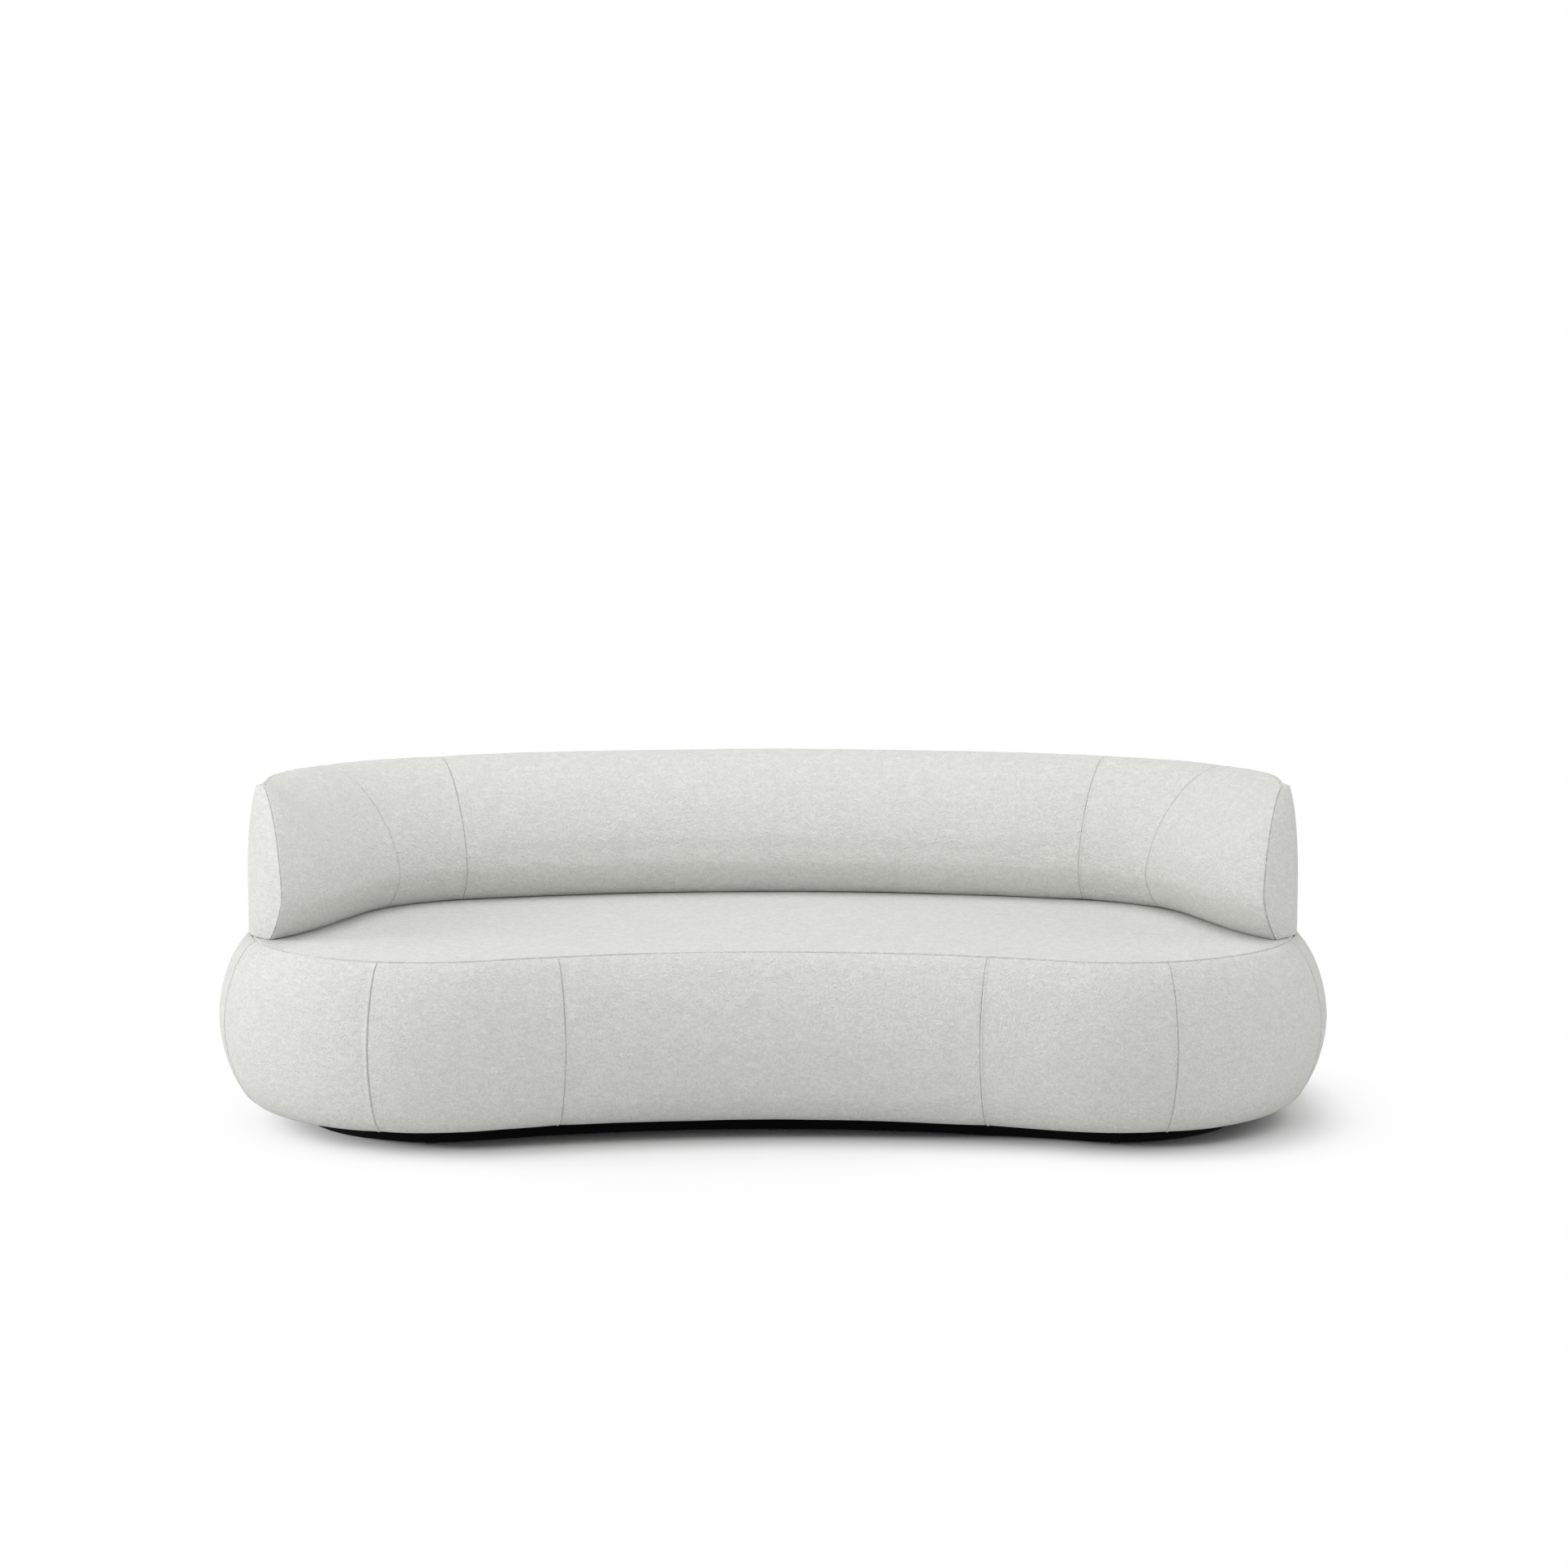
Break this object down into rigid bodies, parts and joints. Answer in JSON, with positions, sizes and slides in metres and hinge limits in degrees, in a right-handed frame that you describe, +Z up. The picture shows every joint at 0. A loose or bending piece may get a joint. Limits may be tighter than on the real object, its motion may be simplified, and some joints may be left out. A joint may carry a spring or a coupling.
{
  "type": "curved sofa",
  "caption": "Kidney-shaped upholstered sofa: fat rounded base with sewn panels on a recessed black plinth, and a curved bolster back that wraps round the ends.",
  "frame": {"origin": "on the floor, in the middle of the sofa's width and depth", "axes": "+Z up, the seat faces -Y, and X runs along the sofa: the viewer's left from the front is -X"},
  "size_m": [2.4, 1.2662, 0.7232],
  "materials": {
    "cover_felt": "nubby matte felt",
    "foam": "matte foam",
    "plywood": "bare plywood",
    "plinth_paint": "black matte paint",
    "glide_plastic": "matte",
    "webbing": "woven",
    "zinc_steel": "zinc plated"
  },
  "bodies": {
    "root": {"plinth_front": "plinth_paint", "plinth_rear": "plinth_paint", "glide_front_centre": "glide_plastic", "glide_front_left": "glide_plastic", "glide_front_right": "glide_plastic", "glide_rear_left": "glide_plastic", "glide_rear_right": "glide_plastic", "glide_rear_centre": "glide_plastic", "base_board": "plywood", "base_rib_1": "plywood", "base_rib_2": "plywood", "base_rib_3": "plywood", "base_rib_4": "plywood", "base_rib_5": "plywood", "seat_rail_front": "plywood", "seat_rail_rear": "plywood", "seat_webbing_1": "webbing", "seat_webbing_2": "webbing", "seat_webbing_3": "webbing", "seat_webbing_4": "webbing", "seat_webbing_5": "webbing", "seat_webbing_6": "webbing", "seat_webbing_7": "webbing", "base_edge_foam_front": "foam", "base_edge_foam_right": "foam", "base_edge_foam_left": "foam", "base_edge_foam_rear": "foam", "seat_foam": "foam", "base_cover_front": "cover_felt", "base_cover_inner_left": "cover_felt", "base_cover_lobe_left": "cover_felt", "base_cover_end_left": "cover_felt", "base_cover_rear_left": "cover_felt", "base_cover_inner_right": "cover_felt", "base_cover_lobe_right": "cover_felt", "base_cover_end_right": "cover_felt", "base_cover_rear_right": "cover_felt", "seat_cover": "cover_felt", "back_board": "plywood", "back_top_rail": "plywood", "back_rib_1": "plywood", "back_rib_2": "plywood", "back_rib_3": "plywood", "back_rib_4": "plywood", "back_foam_centre": "foam", "back_foam_end_left": "foam", "back_foam_end_right": "foam", "back_cover_inner_centre": "cover_felt", "back_cover_inner_shoulder_left": "cover_felt", "back_cover_inner_shoulder_right": "cover_felt", "back_cover_inner_end_left": "cover_felt", "back_cover_inner_end_right": "cover_felt", "back_cover_outer_centre": "cover_felt", "back_cover_outer_left": "cover_felt", "back_cover_outer_right": "cover_felt", "back_bolt_1": "zinc_steel", "back_bolt_2": "zinc_steel", "back_bolt_3": "zinc_steel", "back_bolt_4": "zinc_steel"}
  },
  "joints": []
}
